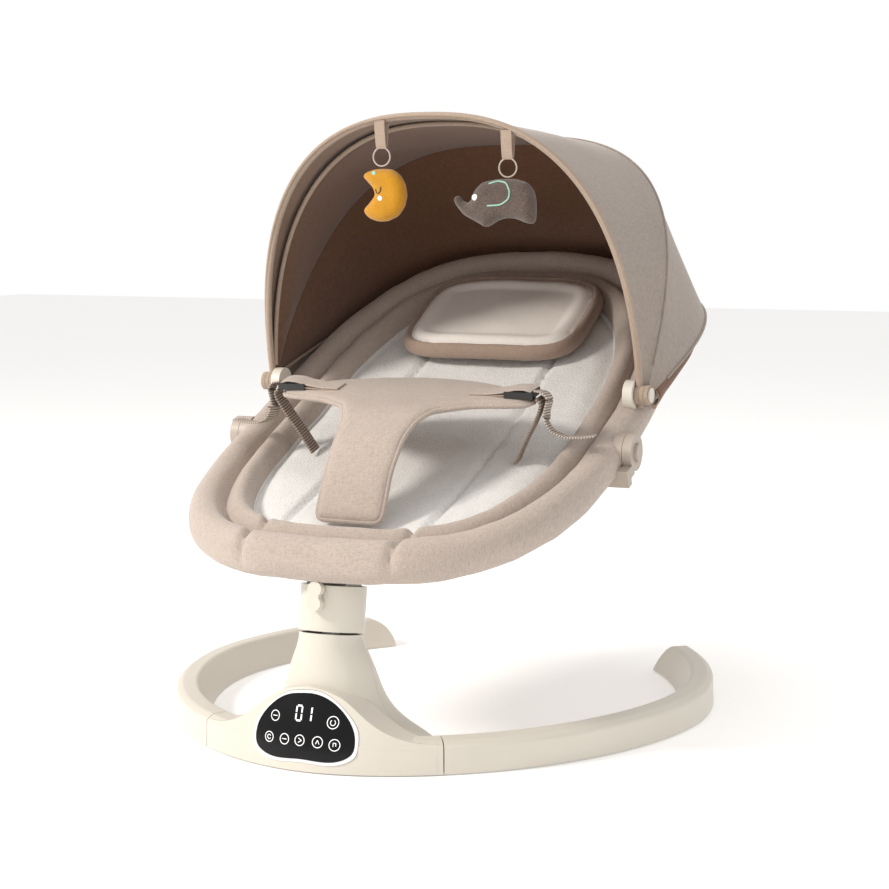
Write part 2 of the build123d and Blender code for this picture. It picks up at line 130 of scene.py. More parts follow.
# woven cloth: two thread directions, slub and a heathered colour
def clothMaterial(name, colour, threads=210.0, contrast=0.16, strength=0.5, mottle=620.0, sheen=0.25):
    material, tree, shader, place = nodeTree(name)
    warp = addThreads(tree, place, (threads * 5, threads * 0.7, threads * 0.7))
    weft = addThreads(tree, place, (threads * 0.6, threads * 5, threads * 5))
    weave = addMath(tree, "MULTIPLY", addMath(tree, "ADD", warp, weft), 0.5)
    slub = addNoise(tree, place, mottle, 4.0, 0.7)
    wide = addNoise(tree, place, 14.0, 2.0)
    mixed = addMath(tree, "ADD", addMath(tree, "MULTIPLY", weave, 0.62), addMath(tree, "MULTIPLY", slub, 0.3))
    mixed = addMath(tree, "ADD", mixed, addMath(tree, "MULTIPLY", wide, 0.08))
    stops = [(0.36, shade(colour, 1 - contrast)), (0.5, colour), (0.64, shade(colour, 1 + contrast * 0.8))]
    tree.links.new(addRamp(tree, mixed, stops), shader.inputs["Base Color"])
    shader.inputs["Roughness"].default_value = 0.88
    shader.inputs["Sheen Weight"].default_value = sheen
    shader.inputs["Sheen Roughness"].default_value = 0.5
    addBump(tree, shader, mixed, strength, 0.0006)
    return material


# looped terry: small round tufts over a soft colour
def terryMaterial(name, colour):
    material, tree, shader, place = nodeTree(name)
    tufts = tree.nodes.new("ShaderNodeTexVoronoi")
    tufts.inputs["Scale"].default_value = 420.0
    tree.links.new(place, tufts.inputs["Vector"])
    wide = addNoise(tree, place, 60.0, 3.0)
    mixed = addMath(tree, "ADD", addMath(tree, "MULTIPLY", tufts.outputs["Distance"], 0.7),
                    addMath(tree, "MULTIPLY", wide, 0.4))
    stops = [(0.2, colour), (0.9, shade(colour, 0.84))]
    tree.links.new(addRamp(tree, mixed, stops), shader.inputs["Base Color"])
    shader.inputs["Roughness"].default_value = 0.95
    shader.inputs["Sheen Weight"].default_value = 0.4
    addBump(tree, shader, mixed, 0.6, 0.0012)
    return material


def feltMaterial(name, colour, contrast, scale):
    material, tree, shader, place = nodeTree(name)
    fibres = addNoise(tree, place, scale, 5.0, 0.75)
    wide = addNoise(tree, place, 40.0, 2.0)
    mixed = addMath(tree, "ADD", addMath(tree, "MULTIPLY", fibres, 0.8), addMath(tree, "MULTIPLY", wide, 0.2))
    stops = [(0.36, shade(colour, 1 - contrast)), (0.64, shade(colour, 1 + contrast))]
    tree.links.new(addRamp(tree, mixed, stops), shader.inputs["Base Color"])
    shader.inputs["Roughness"].default_value = 0.95
    shader.inputs["Sheen Weight"].default_value = 0.35
    addBump(tree, shader, fibres, 0.7, 0.0008)
    return material


# moulded surface: fine grain, a slow change of colour and uneven gloss
def plasticMaterial(name, colour, rough, grain=900.0, strength=0.08, wear=0.05, metal=0.0, coat=0.0):
    material, tree, shader, place = nodeTree(name)
    fine = addNoise(tree, place, grain, 2.0)
    wide = addNoise(tree, place, 9.0, 3.0)
    stops = [(0.3, shade(colour, 1 - wear)), (0.7, shade(colour, 1 + wear * 0.5))]
    tree.links.new(addRamp(tree, wide, stops), shader.inputs["Base Color"])
    gloss = addMath(tree, "ADD", addMath(tree, "MULTIPLY", wide, 0.14), rough - 0.07)
    tree.links.new(gloss, shader.inputs["Roughness"])
    shader.inputs["Metallic"].default_value = metal
    shader.inputs["Coat Weight"].default_value = coat
    shader.inputs["Coat Roughness"].default_value = 0.05
    addBump(tree, shader, fine, strength, 0.0003)
    return material


# inner cloth's colour past a depth from the edge, and the rim's colour before it
def splitMaterial(name, inner, rim, limit):
    material = inner.copy()
    material.name = name
    tree = material.node_tree
    shader = tree.nodes["Principled BSDF"]
    source = rim.node_tree.nodes["Color Ramp"].color_ramp
    own = tree.nodes["Color Ramp"]
    factor = own.inputs["Fac"].links[0].from_socket
    stops = [(element.position, tuple(element.color)[:3]) for element in source.elements]
    dark = addRamp(tree, factor, stops)
    depth = tree.nodes.new("ShaderNodeAttribute")
    depth.attribute_name = "depth"
    cut = tree.nodes.new("ShaderNodeMapRange")
    cut.inputs["From Min"].default_value = limit - 0.0004
    cut.inputs["From Max"].default_value = limit + 0.0004
    tree.links.new(depth.outputs["Fac"], cut.inputs["Value"])
    mix = tree.nodes.new("ShaderNodeMix")
    mix.data_type = "RGBA"
    tree.links.new(cut.outputs["Result"], mix.inputs["Factor"])
    tree.links.new(dark, mix.inputs[6])
    tree.links.new(own.outputs["Color"], mix.inputs[7])
    tree.links.new(mix.outputs[2], shader.inputs["Base Color"])
    return material


# ribbed narrow webbing: cross ribs from the V coordinate of the strap
def webbingMaterial(name, colour):
    material, tree, shader, place = nodeTree(name)
    along = tree.nodes.new("ShaderNodeUVMap")
    along.uv_map = "strap"
    ribs = addWave(tree, along.outputs["UV"], 1.0, (0, 0, math.radians(90)), 0.3)
    fine = addNoise(tree, place, 1200.0, 3.0)
    mixed = addMath(tree, "ADD", addMath(tree, "MULTIPLY", ribs, 0.75), addMath(tree, "MULTIPLY", fine, 0.25))
    stops = [(0.2, shade(colour, 0.5)), (0.5, colour), (0.8, shade(colour, 1.5))]
    tree.links.new(addRamp(tree, mixed, stops), shader.inputs["Base Color"])
    shader.inputs["Roughness"].default_value = 0.8
    addBump(tree, shader, mixed, 0.8, 0.0012)
    return material


linen = clothMaterial("linen", (0.45, 0.376, 0.327), contrast=0.24, strength=0.7)
linenDark = clothMaterial("linenDark", (0.31, 0.225, 0.175), contrast=0.2)
linenInner = clothMaterial("linenInner", (0.435, 0.362, 0.313), contrast=0.24, strength=0.7)
terry = terryMaterial("terry", (0.79, 0.78, 0.765))
pillowCloth = clothMaterial("pillowCloth", (0.76, 0.71, 0.665), 230.0, 0.08, 0.3, 700.0)
canopyOuter = clothMaterial("canopyOuter", (0.29, 0.237, 0.20), 190.0, 0.24, 0.5)
canopyInner = clothMaterial("canopyInner", (0.15, 0.068, 0.033), 170.0, 0.34, 0.6)
visorInner = clothMaterial("visorInner", (0.24, 0.15, 0.10), 170.0, 0.25, 0.6)
piping = clothMaterial("piping", (0.38, 0.29, 0.225), 240.0, 0.18, 0.5)
yellowFelt = feltMaterial("yellowFelt", (0.52, 0.235, 0.002), 0.24, 900.0)
greyMarl = feltMaterial("greyMarl", (0.098, 0.07, 0.057), 0.6, 700.0)
mint = feltMaterial("mint", (0.32, 0.58, 0.47), 0.12, 900.0)
whiteFelt = feltMaterial("whiteFelt", (0.86, 0.86, 0.84), 0.06, 900.0)
blackThread = feltMaterial("blackThread", (0.02, 0.018, 0.016), 0.3, 1200.0)
cream = plasticMaterial("cream", (0.67, 0.63, 0.555), 0.36, 700.0, 0.05, 0.03)
creamFine = plasticMaterial("creamFine", (0.69, 0.65, 0.575), 0.4, 1100.0, 0.05, 0.04)
taupePlastic = plasticMaterial("taupePlastic", (0.45, 0.385, 0.33), 0.42, 1100.0, 0.08, 0.05)
glossBlack = plasticMaterial("glossBlack", (0.004, 0.004, 0.005), 0.2, 300.0, 0.01, 0.1)
glossBlack.node_tree.nodes["Principled BSDF"].inputs["Specular IOR Level"].default_value = 0.25
bezelWhite = plasticMaterial("bezelWhite", (0.86, 0.86, 0.86), 0.22, 500.0, 0.02, 0.02)
matteBlack = plasticMaterial("matteBlack", (0.02, 0.02, 0.021), 0.42, 1300.0, 0.2, 0.2)
rubber = plasticMaterial("rubber", (0.04, 0.04, 0.04), 0.8, 1500.0, 0.4, 0.2)
tubePaint = plasticMaterial("tubePaint", (0.36, 0.33, 0.29), 0.35, 1600.0, 0.15, 0.06, 0.6)
brushed = plasticMaterial("brushed", (0.58, 0.58, 0.58), 0.3, 2500.0, 0.2, 0.08, 1.0)
copper = plasticMaterial("copper", (0.62, 0.28, 0.11), 0.3, 1800.0, 0.4, 0.12, 1.0)
boardGreen = plasticMaterial("boardGreen", (0.02, 0.14, 0.06), 0.35, 600.0, 0.2, 0.2)
nickel = plasticMaterial("nickel", (0.66, 0.64, 0.6), 0.18, 2200.0, 0.05, 0.05, 1.0)
pillowMaterial = splitMaterial("pillowSplit", pillowCloth, linenDark, 0.0114)
webbing = webbingMaterial("webbing", (0.30, 0.24, 0.20))
tailWebbing = webbingMaterial("tailWebbing", (0.42, 0.36, 0.31))
# white print of the panel; its emission is a painted glow, not a lamp
glowInk = plasticMaterial("glowInk", (0.82, 0.82, 0.82), 0.4, 900.0, 0.02, 0.03)
glowInkShader = glowInk.node_tree.nodes["Principled BSDF"]
glowInkShader.inputs["Emission Color"].default_value = (1, 1, 1, 1)
glowInkShader.inputs["Emission Strength"].default_value = 0.35

bySlot = {
    "cream_plastic": cream, "panel_glass": glossBlack, "bezel_white": bezelWhite, "board": boardGreen,
    "tube_steel": tubePaint, "shaft_steel": brushed, "copper": copper, "black_plastic": matteBlack,
    "rubber": rubber, "magnet": nickel, "button_plastic": taupePlastic, "seat_linen": linen,
    "canopy_cloth": canopyOuter, "webbing": webbing, "moon_felt": yellowFelt, "grey_marl": greyMarl,
    "pillow_cloth": pillowCloth,
}
special = {
    "left_canopy_clip": creamFine, "right_canopy_clip": creamFine, "moon_ring": taupePlastic,
    "elephant_ring": taupePlastic, "front_bow": piping, "mid_bow": piping, "rear_bow": piping,
    "left_buckle": matteBlack, "right_buckle": matteBlack,
}
for part in frame["record"]["subparts"]:
    node = nodes[part["node"]]
    chosen = special.get(part["node"], bySlot[part["material_slot"]])
    for place in node.material_slots:
        place.material = chosen
print("materials ready")


def getCo(obj):
    co = np.empty(len(obj.data.vertices) * 3)
    obj.data.vertices.foreach_get("co", co)
    return co.reshape(-1, 3)


def setCo(obj, co):
    obj.data.vertices.foreach_set("co", np.asarray(co, float).ravel())
    obj.data.update()


def deselect():
    bpy.ops.object.select_all(action="DESELECT")


def pick(obj):
    deselect()
    obj.select_set(True)
    bpy.context.view_layer.objects.active = obj


def weld(obj, distance=0.00002):
    pick(obj)
    bpy.ops.object.mode_set(mode="EDIT")
    bpy.ops.mesh.select_all(action="SELECT")
    bpy.ops.mesh.remove_doubles(threshold=distance)
    bpy.ops.mesh.dissolve_degenerate(threshold=0.000001)
    bpy.ops.mesh.normals_make_consistent(inside=False)
    bpy.ops.object.mode_set(mode="OBJECT")


def finishMesh(obj, materials, angle=40):
    obj.data.materials.clear()
    for material in materials:
        obj.data.materials.append(material)
    pick(obj)
    bpy.ops.object.shade_smooth_by_angle(angle=math.radians(angle))


# running length at each point of a line
def lengths(points):
    return np.concatenate([[0], np.cumsum(np.linalg.norm(np.diff(points, axis=0), axis=1))])


# the same line with evenly spaced points; a closed one leaves out its last point
def evenly(points, count, closed=False):
    along = lengths(points)
    target = np.linspace(0, along[-1], count, endpoint=not closed)
    return np.stack([np.interp(target, along, points[:, k]) for k in range(points.shape[1])], -1)


# grid primitive whose points are moved onto rows of points
def gridOf(name, rows):
    rows = np.asarray(rows, float)
    count, across = rows.shape[:2]
    deselect()
    bpy.ops.mesh.primitive_grid_add(x_subdivisions=across - 1, y_subdivisions=count - 1, size=1)
    obj = bpy.context.object
    obj.name = name
    setCo(obj, rows.reshape(-1, 3))
    return obj


# sweeps a closed outline (side, height) along a path; both ends are closed
def rodOf(name, path, outline, up=(0, 0, 1), uvStep=None):
    path = np.asarray(path, float)
    outline = np.asarray(outline, float)
    step = np.gradient(path, axis=0)
    step /= np.linalg.norm(step, axis=1)[:, None]
    ups = np.asarray(up, float)
    if ups.ndim == 1:
        ups = np.tile(ups, (len(path), 1))
    side = np.cross(step, ups)
    side /= np.linalg.norm(side, axis=1)[:, None]
    top = np.cross(side, step)
    rows = [path[i] + outline[:, :1] * side[i] + outline[:, 1:] * top[i] for i in range(len(path))]
    rows = [np.tile(path[0], (len(outline), 1))] + rows + [np.tile(path[-1], (len(outline), 1))]
    rows = np.asarray(rows)
    rows = np.concatenate([rows, rows[:, :1]], axis=1)
    obj = gridOf(name, rows)
    if uvStep:
        obj.data.uv_layers.new(name="strap")
        layer = obj.data.uv_layers["strap"]
        along = lengths(path)
        along = np.concatenate([[0], along, [along[-1]]])
        width = rows.shape[1]
        loops = np.empty(len(obj.data.loops), int)
        obj.data.loops.foreach_get("vertex_index", loops)
        uv = np.stack([loops % width / width, along[loops // width] / uvStep], -1)
        layer.data.foreach_set("uv", uv.ravel())
    weld(obj)
    return obj


def roundOutline(width, height, count=10):
    turns = np.linspace(0, 2 * math.pi, count, endpoint=False)
    return np.stack([np.cos(turns) * width, np.sin(turns) * height], -1)


def strapOutline(width, thick):
    half, low = width / 2, thick / 2
    tip = half + low * 0.6
    return [(-half, -low), (half, -low), (tip, 0), (half, low), (-half, low), (-tip, 0)]


# even points along a polyline, then rounded
def smoothPath(points, count, closed=False, rounds=6):
    points = np.asarray(points, float)
    if closed:
        points = np.vstack([points, points[:1]])
    even = evenly(points, count, closed)
    for _ in range(rounds):
        if closed:
            even = (np.roll(even, 1, 0) + 2 * even + np.roll(even, -1, 0)) / 4
        else:
            even[1:-1] = (even[:-2] + 2 * even[1:-1] + even[2:]) / 4
    return even


# distance of plan points to a closed outline
def edgeDistance(points, outline):
    ends = np.roll(outline, -1, 0)
    best = np.full(len(points), 9.0)
    for start, end in zip(outline, ends):
        line = end - start
        share = np.clip(((points - start) @ line) / max(line @ line, 1e-12), 0, 1)
        gap = np.linalg.norm(points - start - share[:, None] * line, axis=1)
        best = np.minimum(best, gap)
    return best


# slab on an outline, remeshed, then crowned so that it is thin at its seam and full inside
def stuffed(name, outline, half, voxel, edge, wall=0.25):
    deselect()
    bpy.ops.mesh.primitive_circle_add(vertices=len(outline), fill_type="NGON")
    obj = bpy.context.object
    obj.name = name
    setCo(obj, np.c_[outline, np.full(len(outline), -half)])
    bpy.ops.object.mode_set(mode="EDIT")
    bpy.ops.mesh.select_all(action="SELECT")
    bpy.ops.mesh.extrude_region_move(TRANSFORM_OT_translate={"value": (0, 0, 2 * half)})
    bpy.ops.mesh.select_all(action="SELECT")
    bpy.ops.mesh.normals_make_consistent(inside=False)
    bpy.ops.object.mode_set(mode="OBJECT")
    grid = obj.modifiers.new("grid", "REMESH")
    grid.mode = "VOXEL"
    grid.voxel_size = voxel
    bpy.ops.object.modifier_apply(modifier="grid")
    co = getCo(obj)
    depth = np.clip(edgeDistance(co[:, :2], outline) / edge, 0, 1)
    co[:, 2] *= wall + (1 - wall) * np.sqrt(1 - (1 - depth) ** 2)
    setCo(obj, co)
    return obj, co


# soft unevenness from -1 to 1 at each point
def ripple(points, scale, seed):
    return np.array([noise.noise(Vector((p[0] * scale + seed, p[1] * scale, p[2] * scale))) for p in points])


def settle(obj, rounds=4, factor=0.5):
    smooth = obj.modifiers.new("settle", "SMOOTH")
    smooth.iterations = rounds
    smooth.factor = factor
    pick(obj)
    bpy.ops.object.modifier_apply(modifier="settle")


def superPoint(turn, a, b, n):
    c, s = np.cos(turn), np.sin(turn)
    return a * np.sign(c) * np.abs(c) ** (2 / n), b * np.sign(s) * np.abs(s) ** (2 / n)


seat = {
    "half": 0.211, "front": -0.334, "rear": 0.266, "power": 2.857,  # plan of the outer bolster's centre line
    "foot": 0.207, "mid": 0.311, "head": 0.477,  # its height at the foot, the middle and the head
    "bolster": (0.019, 0.0225),  # half width and half height
    "innerFrom": 0.050, "innerWide": 0.029, "innerHigh": 0.0165, "innerStep": 0.006,
    "padEdge": 0.0515, "padCrown": 0.0085, "padSink": 0.0045, "padHollow": 0.004,
    "seamAt": 0.080, "seamWide": 0.0042, "seamDeep": 0.0068,  # the two long seams of the pad
    "footSeamAt": 0.083, "footSeamDeep": 0.0075, "footFrom": -0.235,  # the two seams across the bolsters
    "under": ((0.023, -0.0185), (0.032, -0.0195), (0.042, -0.0195), (0.051, -0.019)), "floor": 0.019,
}


# height of the bolster's centre line at a plan y
def rimHeight(y):
    u = (y - seat["front"]) / (seat["rear"] - seat["front"])
    bend = seat["foot"] * (1 - u) * (1 - 2 * u) + 4 * seat["mid"] * u * (1 - u)
    return bend + seat["head"] * u * (2 * u - 1)


def rimLoop(count):
    middle = (seat["front"] + seat["rear"]) / 2
    dense = np.linspace(0, 2 * math.pi, 4001)
    x, y = superPoint(dense, seat["half"], (seat["rear"] - seat["front"]) / 2, seat["power"])
    loop = evenly(np.stack([x, y + middle], -1), count, True)
    way = np.roll(loop, -1, 0) - np.roll(loop, 1, 0)
    way /= np.linalg.norm(way, axis=1)[:, None]
    return loop, np.stack([-way[:, 1], way[:, 0]], -1)


def seatCover():
    loop, inward = rimLoop(500)
    middle = np.array([0.0, (seat["front"] + seat["rear"]) / 2])
    padEdge = loop + inward * seat["padEdge"]
    rows, kinds = [], []  # kinds are the material numbers: 0 outer bolster and base, 1 pad, 2 inner bolster
    for share in np.linspace(0, 1, 40):  # the pad, from its middle out to its edge
        plan = middle + (padEdge - middle) * share
        crown = 1 - max(0, (share - 0.86) / 0.14) ** 2
        height = np.full(len(plan), seat["padCrown"] * crown - seat["padSink"])
        for seam in (-seat["seamAt"], seat["seamAt"]):
            groove = np.exp(-((plan[:, 0] - seam) / seat["seamWide"]) ** 2)
            height -= seat["seamDeep"] * groove * min(1, share * 3)
        height -= seat["padHollow"] * (1 - share)
        rows.append(np.c_[plan, rimHeight(plan[:, 1]) + height])
        kinds.append(1)
    for share in np.linspace(0, 1, 16):  # over the inner bolster
        plan = loop + inward * (seat["innerFrom"] - share * seat["innerWide"])
        height = seat["innerHigh"] * math.sin(math.pi * share) ** 0.7 + seat["innerStep"] * share
        rows.append(np.c_[plan, rimHeight(plan[:, 1]) + height])
        kinds.append(2)
    for turn in np.linspace(math.radians(24), math.radians(322), 34):  # round the outer bolster
        plan = loop + inward * seat["bolster"][0] * math.cos(turn)
        rows.append(np.c_[plan, rimHeight(loop[:, 1]) + seat["bolster"][1] * math.sin(turn)])
        kinds.append(0)
    for reach, height in seat["under"]:  # back inwards underneath
        plan = loop + inward * reach
        rows.append(np.c_[plan, rimHeight(plan[:, 1]) + height])
        kinds.append(0)
    for share in np.linspace(0.92, 0, 14):
        plan = middle + (padEdge - middle) * share
        rows.append(np.c_[plan, rimHeight(plan[:, 1]) - seat["floor"]])
        kinds.append(0)
    rows = np.asarray(rows)
    kinds = np.asarray(kinds)
    flat = rows.reshape(-1, 3)
    rowOf = np.repeat(np.arange(len(rows)), rows.shape[1])
    kindOf = kinds[rowOf]
    soft = ripple(flat, 22.0, 3.0) * 0.0016 + ripple(flat, 60.0, 8.0) * 0.0006  # uneven filling
    upper = (rowOf > 0) & (rowOf < 84)
    flat[:, 2] += soft * upper
    groove = np.exp(-((np.abs(flat[:, 0]) - seat["footSeamAt"]) / seat["seamWide"]) ** 2)
    across = groove * (flat[:, 1] < seat["footFrom"]) * (kindOf != 1)
    lift = np.clip((flat[:, 2] - rimHeight(flat[:, 1]) + 0.02) / 0.04, 0, 1)
    flat[:, 2] -= across * lift * seat["footSeamDeep"]
    flat[:, 1] += across * np.clip((-0.335 - flat[:, 1]) / 0.02, 0, 1) * 0.006
    rows = flat.reshape(rows.shape)
    rows = np.concatenate([rows, rows[:, :1]], axis=1)
    obj = gridOf("seatCover", rows)
    marks = np.array([kinds[min(face.vertices) // rows.shape[1]] for face in obj.data.polygons])
    finishMesh(obj, [linen, terry, linenInner], 60)
    obj.data.polygons.foreach_set("material_index", marks)
    weld(obj)
    return obj


cover = seatCover()
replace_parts(cover, "foot_pad", "back_pad")
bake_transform(cover)
print("seat cover done")


pillow = {
    "width": 0.226, "length": 0.170, "power": 4.0, "half": 0.0098, "edge": 0.011,
    "slope": 28.0, "centre": (0, 0.141, 0.4245), "bow": 0.35,
    "roll": 0.0026, "seam": 0.0038, "panel": 0.0030, "dish": 0.0042,  # heights of the raised and sunk parts
}


def headPillow():
    turns = np.linspace(0, 2 * math.pi, 200, endpoint=False)
    x, y = superPoint(turns, pillow["width"] / 2, pillow["length"] / 2, pillow["power"])
    outline = np.stack([x, y], -1)
    obj, co = stuffed("headPillow", outline, pillow["half"], 0.0028, pillow["edge"])
    depth = edgeDistance(co[:, :2], outline)
    over = co[:, 2] > 0
    roll = np.exp(-((depth - 0.0062) / 0.0046) ** 2) * pillow["roll"]  # raised roll round the rim
    seam = np.exp(-((depth - 0.0112) / 0.0024) ** 2) * pillow["seam"]
    panel = np.clip((depth - 0.012) / 0.009, 0, 1) * pillow["panel"]
    dish = np.clip((depth - 0.024) / 0.010, 0, 1) ** 1.2 * pillow["dish"]  # sunk middle
    co[:, 2] += over * (roll - seam + panel - dish)
    co[:, 2] += ripple(co, 30.0, 5.0) * 0.0010 * over
    angle = math.radians(pillow["slope"])
    centre = np.array(pillow["centre"])
    height = co[:, 2] - pillow["bow"] * co[:, 0] ** 2
    placed = np.c_[co[:, 0], co[:, 1] * math.cos(angle) - height * math.sin(angle),
                   co[:, 1] * math.sin(angle) + height * math.cos(angle)] + centre
    setCo(obj, placed)
    finishMesh(obj, [pillowMaterial], 60)
    layer = obj.data.attributes.new("depth", "FLOAT", "POINT")
    layer.data.foreach_set("value", np.where(over, depth, 0.0).astype(np.float32))
    settle(obj, 2, 0.4)
    return obj


cushion = headPillow()
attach(cushion, "backrest")
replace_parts(cushion, "head_pillow")
print("pillow done")


harness = {
    "half": 0.006, "edge": 0.012, "piping": 0.0028, "droop": 0.12, "lift": 0.004,
    # side view of the pad from its sewn end up to its top, as places along Y and Z
    "line": [(-0.2485, 0.232), (-0.226, 0.280), (-0.200, 0.312), (-0.165, 0.336), (-0.110, 0.350),
             (-0.052, 0.361)],
    # right half of its outline, as places across and along the pad
    "side": [(0.034, 0.0), (0.037, 0.003), (0.0365, 0.057), (0.0375, 0.095), (0.041, 0.121), (0.054, 0.149),
             (0.086, 0.169), (0.125, 0.178), (0.144, 0.184), (0.148, 0.196), (0.142, 0.209), (0.118, 0.225),
             (0.086, 0.238), (0.05, 0.248), (0.0, 0.252)],
}
padPath = smoothPath(np.array(harness["line"]) - (shiftY, 0), 60)
padSlope = np.gradient(padPath, axis=0)
padSlope /= np.linalg.norm(padSlope, axis=1)[:, None]


# point of the crotch pad from its cross and lengthwise place and its height above the middle
def onPad(x, s, lift):
    along = lengths(padPath)
    y = np.interp(s, along, padPath[:, 0])
    z = np.interp(s, along, padPath[:, 1])
    ny = -np.interp(s, along, padSlope[:, 1])
    nz = np.interp(s, along, padSlope[:, 0])
    droop = harness["droop"] * np.asarray(x) ** 2
    return np.stack([x, y + ny * lift, z + nz * lift - droop + harness["lift"]], -1)


def crotchPad():
    side = harness["side"]
    outline = smoothPath(side + [(-x, s) for x, s in reversed(side[:-1])], 260, True, 4)
    obj, co = stuffed("harnessPad", outline, harness["half"], 0.0028, harness["edge"], 0.3)
    lift = co[:, 2] + ripple(co, 26.0, 2.0) * 0.0009
    setCo(obj, onPad(co[:, 0], co[:, 1], lift))
    settle(obj, 2, 0.4)
    finishMesh(obj, [linenInner], 60)
    edge = onPad(outline[:, 0], outline[:, 1], np.zeros(len(outline)))
    edge = np.vstack([edge, edge[:2]])
    rim = rodOf("harnessPiping", edge, roundOutline(harness["piping"], harness["piping"], 8))
    finishMesh(rim, [linenInner], 60)
    return obj, rim


lapPad, lapPiping = crotchPad()
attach(lapPad, "harness")
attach(lapPiping, "harness")
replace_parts(lapPad, "crotch_pad")
print("crotch pad done")


clipY = 0.006 - shiftY
clipZ = 0.353
bows = {
    "front": {"half": 0.224, "height": 0.306, "power": 2.5, "tilt": -12.3},
    "mid": {"half": 0.229, "height": 0.339, "power": 3.0, "tilt": 34.0},
    "rear": {"half": 0.234, "height": 0.396, "power": 3.4, "tilt": 75.0},
    "lining": {"half": 0.2190, "height": 0.2905, "power": 2.45, "tilt": -3.0},
    "liningRear": {"half": 0.2250, "height": 0.332, "power": 3.0, "tilt": 34.5},
}
canopy = {"thick": 0.0014, "over": 0.0028, "folds": 0.0022, "sag": 0.002, "liningSag": 0.003}
skirtShape = {
    "half": 0.236, "reach": 0.408, "power": 2.86, "slope": 28.5, "start": (-0.069, 0.297),
    "drop": 0.024, "puff": 0.006, "folds": 0.002,
}


# points of a bow from the right clip over to the left one
def bowLine(bow, grow=0.0, start=2.0, count=121):
    dense = np.linspace(math.radians(start), math.radians(180 - start), 2001)
    x, r = superPoint(dense, bow["half"] + grow, bow["height"] + grow, bow["power"])
    x, r = evenly(np.stack([x, r], -1), count).T
    tilt = math.radians(bow["tilt"])
    return np.stack([x, clipY + r * math.sin(tilt), clipZ + r * math.cos(tilt)], -1)


# rows stretched from one bow to the next with a slight inward sag and soft folds
def panelRows(first, second, count, sag, seed):
    rows = []
    near = bowLine(bows[first], canopy["over"], 0.25)
    far = bowLine(bows[second], canopy["over"], 0.25)
    for share in np.linspace(0, 1, count):
        hollow = math.sin(math.pi * share)
        line = near * (1 - share) + far * share
        out = line - (0, clipY, clipZ)
        out /= np.linalg.norm(out, axis=1)[:, None]
        folds = ripple(line * (1, 0.6, 0.6), 16.0, seed) * canopy["folds"] * hollow
        rows.append(line + out * (folds - sag * hollow)[:, None])
    return np.asarray(rows)


# turns the faces so that they look away from a centre
def outward(obj, centre):
    face = obj.data.polygons[len(obj.data.polygons) // 2]
    if (Vector(face.center) - Vector(centre)).dot(face.normal) < 0:
        obj.data.flip_normals()


def canopySheet(name, rows, inner=canopyInner, outer=canopyOuter):
    obj = gridOf(name, rows)
    outward(obj, (0, clipY, clipZ))
    finishMesh(obj, [outer, inner], 50)
    solid = obj.modifiers.new("cloth", "SOLIDIFY")
    solid.thickness = canopy["thick"]
    solid.offset = 0.0
    solid.material_offset = 1
    pick(obj)
    bpy.ops.object.modifier_apply(modifier="cloth")
    return obj


frontRows = panelRows("front", "mid", 26, canopy["sag"], 1.0)
frontSheet = canopySheet("canopyFront", frontRows, visorInner)
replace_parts(frontSheet, "front_panel")
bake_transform(frontSheet)

rearRows = panelRows("mid", "rear", 24, canopy["sag"], 6.0)
rearSheet = canopySheet("canopyRear", rearRows)
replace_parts(rearSheet, "rear_panel")
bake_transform(rearSheet)


# from the rear bow down to the hem under the backrest
def skirtRows():
    top = bowLine(bows["rear"], canopy["over"], 0.25)
    slope = math.radians(skirtShape["slope"])
    dense = np.linspace(math.radians(6), math.radians(174), 2001)
    x, r = superPoint(dense, skirtShape["half"], skirtShape["reach"], skirtShape["power"])
    x, r = evenly(np.stack([x, r], -1), len(top)).T
    drop = skirtShape["drop"] * np.clip((r - 0.07) / 0.16, 0, 1) - 0.004
    startY, startZ = skirtShape["start"]
    hem = np.stack([x, startY + r * math.cos(slope) + drop * math.sin(slope),
                    startZ + r * math.sin(slope) - drop * math.cos(slope)], -1)
    rows = []
    for share in np.linspace(0, 1, 16):
        line = top * (1 - share) + hem * share
        out = (line - (0, 0.05, 0)) * (1, 1, 0)
        out /= np.linalg.norm(out, axis=1)[:, None]
        hollow = math.sin(math.pi * share)
        folds = ripple(line, 20.0, 4.0) * skirtShape["folds"]
        rows.append(line + out * ((skirtShape["puff"] + folds) * hollow)[:, None])
    return np.asarray(rows), hem


lowRows, hemLine = skirtRows()
skirt = canopySheet("canopySkirt", lowRows)
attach(skirt, "backrest")
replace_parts(skirt, "head_skirt")


# adds straight ends past the clips to a bow's line
def withEnds(line, tilt, reach):
    angle = math.radians(tilt)
    steps = (reach, reach / 2, 0)
    first, last = ([(x, clipY - r * math.sin(angle), clipZ - r * math.cos(angle)) for r in steps]
                   for x in (line[0][0], line[-1][0]))
    return np.vstack([first, line, last[::-1]])


def edging(name, line, radius, material, body):
    obj = rodOf(name, line, roundOutline(radius, radius, 8), up=(0.02, 0.9, 0.3))
    finishMesh(obj, [material], 60)
    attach(obj, body)


liningRows = panelRows("lining", "liningRear", 22, canopy["liningSag"], 9.0)
lining = canopySheet("canopyLining", liningRows, canopyInner, canopyInner)
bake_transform(lining)
frontLine = withEnds(bowLine(bows["front"], 0.001), bows["front"]["tilt"], 0.014)
edging("frontHem", frontLine, 0.0040, piping, "canopy_front")
edging("frontEdge", bowLine(dict(bows["front"], tilt=-13.4), 0.003), 0.0019, piping, "canopy_front")
edging("innerHem", bowLine(bows["lining"], 0.0028), 0.0027, piping, "canopy_front")
edging("midRidge", bowLine(bows["mid"], 0.0036), 0.0017, canopyOuter, "canopy_mid")
edging("rearRidge", bowLine(bows["rear"], 0.0036), 0.0017, canopyOuter, "backrest")
edging("skirtHem", hemLine, 0.0026, piping, "backrest")
print("canopy done")


